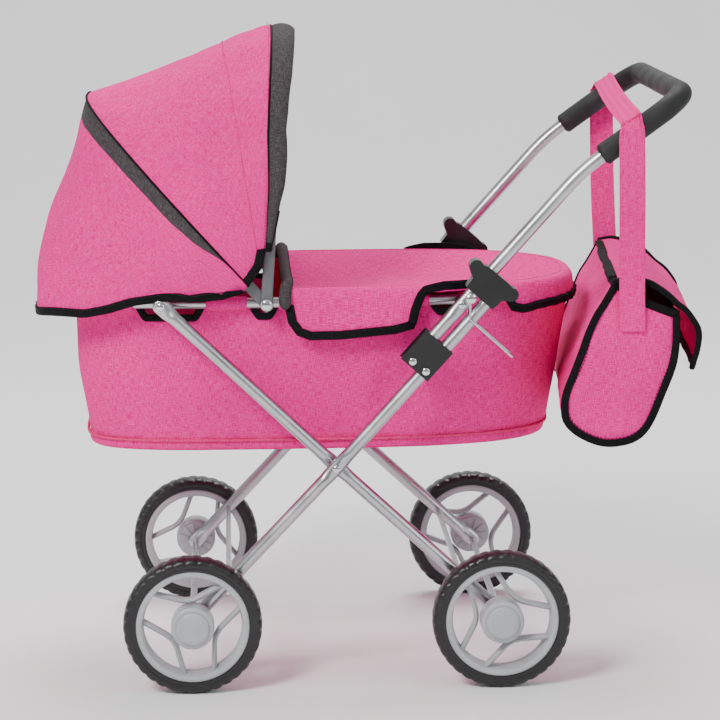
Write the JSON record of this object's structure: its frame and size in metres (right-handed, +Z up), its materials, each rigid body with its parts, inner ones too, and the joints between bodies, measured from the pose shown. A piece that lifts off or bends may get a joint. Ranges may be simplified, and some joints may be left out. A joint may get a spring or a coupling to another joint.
{
  "type": "doll pram",
  "caption": "Doll's pram with an oval carrycot, a folding two-bow hood, a boot cover, a hanging lidded bag and a crossed tube frame that folds.",
  "frame": {"origin": "on the ground under the middle of the overall length and width", "axes": "+X from the hood end to the handle end, +Y to the pusher's right, +Z up; the pram travels towards -X"},
  "size_m": [0.6298, 0.374, 0.5862],
  "materials": {
    "pink_fabric": "heathered pink woven polyester",
    "grey_fabric": "dark grey melange woven polyester",
    "painted_tube": "satin silver coated steel tube",
    "chrome_rivet": "bright plated steel",
    "black_plastic": "matt black moulded plastic",
    "bow_plastic": "grey flexible plastic strip",
    "grey_plastic": "light grey moulded plastic",
    "foam": "closed-cell foam sleeve",
    "tyre": "near-black soft plastic, moulded blocks",
    "board": "hardboard, hidden under the lining"
  },
  "bodies": {
    "carrycot": {"cot_body": "pink_fabric", "cot_rail": "painted_tube", "base_board": "board", "boot_cover": "pink_fabric", "boot_cover_roll": "grey_fabric", "leg_pivot_left": "chrome_rivet", "leg_pivot_right": "chrome_rivet", "handle_pivot_left": "chrome_rivet", "handle_pivot_right": "chrome_rivet", "hood_pivot_left": "chrome_rivet", "hood_pivot_right": "chrome_rivet", "pivot_bush_left": "black_plastic", "pivot_bush_right": "black_plastic"},
    "handle": {"handle_tube": "painted_tube", "handle_grip": "foam", "bail_rivet": "chrome_rivet"},
    "front_legs": {"front_leg_left": "painted_tube", "front_leg_right": "painted_tube", "fold_bracket_left": "black_plastic", "fold_bracket_right": "black_plastic", "bracket_pivot_left": "chrome_rivet", "bracket_pivot_right": "chrome_rivet", "bracket_rivet_left": "chrome_rivet", "bracket_rivet_right": "chrome_rivet", "crossing_rivet_left": "chrome_rivet", "crossing_rivet_right": "chrome_rivet", "front_axle": "painted_tube", "front_cross_rod": "painted_tube"},
    "rear_legs": {"rear_leg_left": "painted_tube", "rear_leg_right": "painted_tube", "axle_spacer_left": "black_plastic", "axle_spacer_right": "black_plastic", "rear_axle": "painted_tube", "rear_cross_rod": "painted_tube"},
    "front_left_wheel": {"wheel_front_left": "grey_plastic", "tyre_front_left": "tyre", "hub_cap_front_left": "grey_plastic"},
    "front_right_wheel": {"wheel_front_right": "grey_plastic", "tyre_front_right": "tyre", "hub_cap_front_right": "grey_plastic"},
    "rear_left_wheel": {"wheel_rear_left": "grey_plastic", "tyre_rear_left": "tyre", "hub_cap_rear_left": "grey_plastic"},
    "rear_right_wheel": {"wheel_rear_right": "grey_plastic", "tyre_rear_right": "tyre", "hub_cap_rear_right": "grey_plastic"},
    "left_latch": {"slide_latch_left": "black_plastic"},
    "right_latch": {"slide_latch_right": "black_plastic"},
    "wire_catch": {"wire_bail": "chrome_rivet"},
    "hood_rear": {"hood_rear_bow": "bow_plastic", "hood_rear_panel": "pink_fabric"},
    "hood_front": {"hood_front_bow": "bow_plastic", "hood_front_panel": "pink_fabric"},
    "bag": {"bag_body": "pink_fabric", "bag_strap": "pink_fabric"},
    "bag_lid": {"bag_flap": "pink_fabric"}
  },
  "joints": [
    {"name": "fold", "type": "hinge", "parent": "carrycot", "child": "handle", "pos_m": [0.0734, 0, 0.3472], "axis": [0, -1, 0], "range_deg": [0, 60]},
    {"name": "rear_leg_fold", "type": "hinge", "parent": "carrycot", "child": "rear_legs", "pos_m": [-0.1949, 0, 0.3472], "axis": [0, -1, 0], "range_deg": [0, 11.2]},
    {"name": "front_leg_fold", "type": "hinge", "parent": "handle", "child": "front_legs", "pos_m": [0.0288, 0, 0.2976], "axis": [0, -1, 0], "range_deg": [-89.6, 0]},
    {"name": "front_left_wheel_spin", "type": "hinge", "parent": "front_legs", "child": "front_left_wheel", "pos_m": [-0.1711, -0.16725, 0.0625], "axis": [0, 1, 0], "continuous": true},
    {"name": "front_right_wheel_spin", "type": "hinge", "parent": "front_legs", "child": "front_right_wheel", "pos_m": [-0.1711, 0.16725, 0.0625], "axis": [0, 1, 0], "continuous": true},
    {"name": "rear_left_wheel_spin", "type": "hinge", "parent": "rear_legs", "child": "rear_left_wheel", "pos_m": [0.1073, -0.16725, 0.0625], "axis": [0, 1, 0], "continuous": true},
    {"name": "rear_right_wheel_spin", "type": "hinge", "parent": "rear_legs", "child": "rear_right_wheel", "pos_m": [0.1073, 0.16725, 0.0625], "axis": [0, 1, 0], "continuous": true},
    {"name": "left_latch_slide", "type": "slide", "parent": "handle", "child": "left_latch", "axis": [0.6704, 0, 0.742], "range_m": [0, 0.025]},
    {"name": "right_latch_slide", "type": "slide", "parent": "handle", "child": "right_latch", "axis": [0.6704, 0, 0.742], "range_m": [0, 0.025]},
    {"name": "catch_swing", "type": "hinge", "parent": "handle", "child": "wire_catch", "pos_m": [0.08083, -0.149, 0.35369], "axis": [0, -1, 0], "range_deg": [0, 40]},
    {"name": "hood_fold", "type": "hinge", "parent": "carrycot", "child": "hood_rear", "pos_m": [-0.1005, 0, 0.3472], "axis": [0, -1, 0], "range_deg": [0, 35], "deforming": ["hood_rear_panel"]},
    {"name": "hood_front_fold", "type": "hinge", "parent": "hood_rear", "child": "hood_front", "pos_m": [-0.1005, 0, 0.3472], "axis": [0, -1, 0], "range_deg": [0, 41], "deforming": ["hood_front_panel"]},
    {"name": "bag_swing", "type": "hinge", "parent": "handle", "child": "bag", "pos_m": [0.2316, 0, 0.5025], "axis": [0, -1, 0], "range_deg": [0, 35], "deforming": ["bag_strap"]},
    {"name": "bag_lid_hinge", "type": "hinge", "parent": "bag", "child": "bag_lid", "pos_m": [0.2226, 0, 0.367], "axis": [0, -1, 0], "range_deg": [0, 100]}
  ],
  "couplings": [
    {"joint": "rear_leg_fold", "follows": "fold", "ratio": 0.1863},
    {"joint": "front_leg_fold", "follows": "fold", "ratio": -1.4929},
    {"joint": "hood_front_fold", "follows": "hood_fold", "ratio": 1.1714}
  ]
}
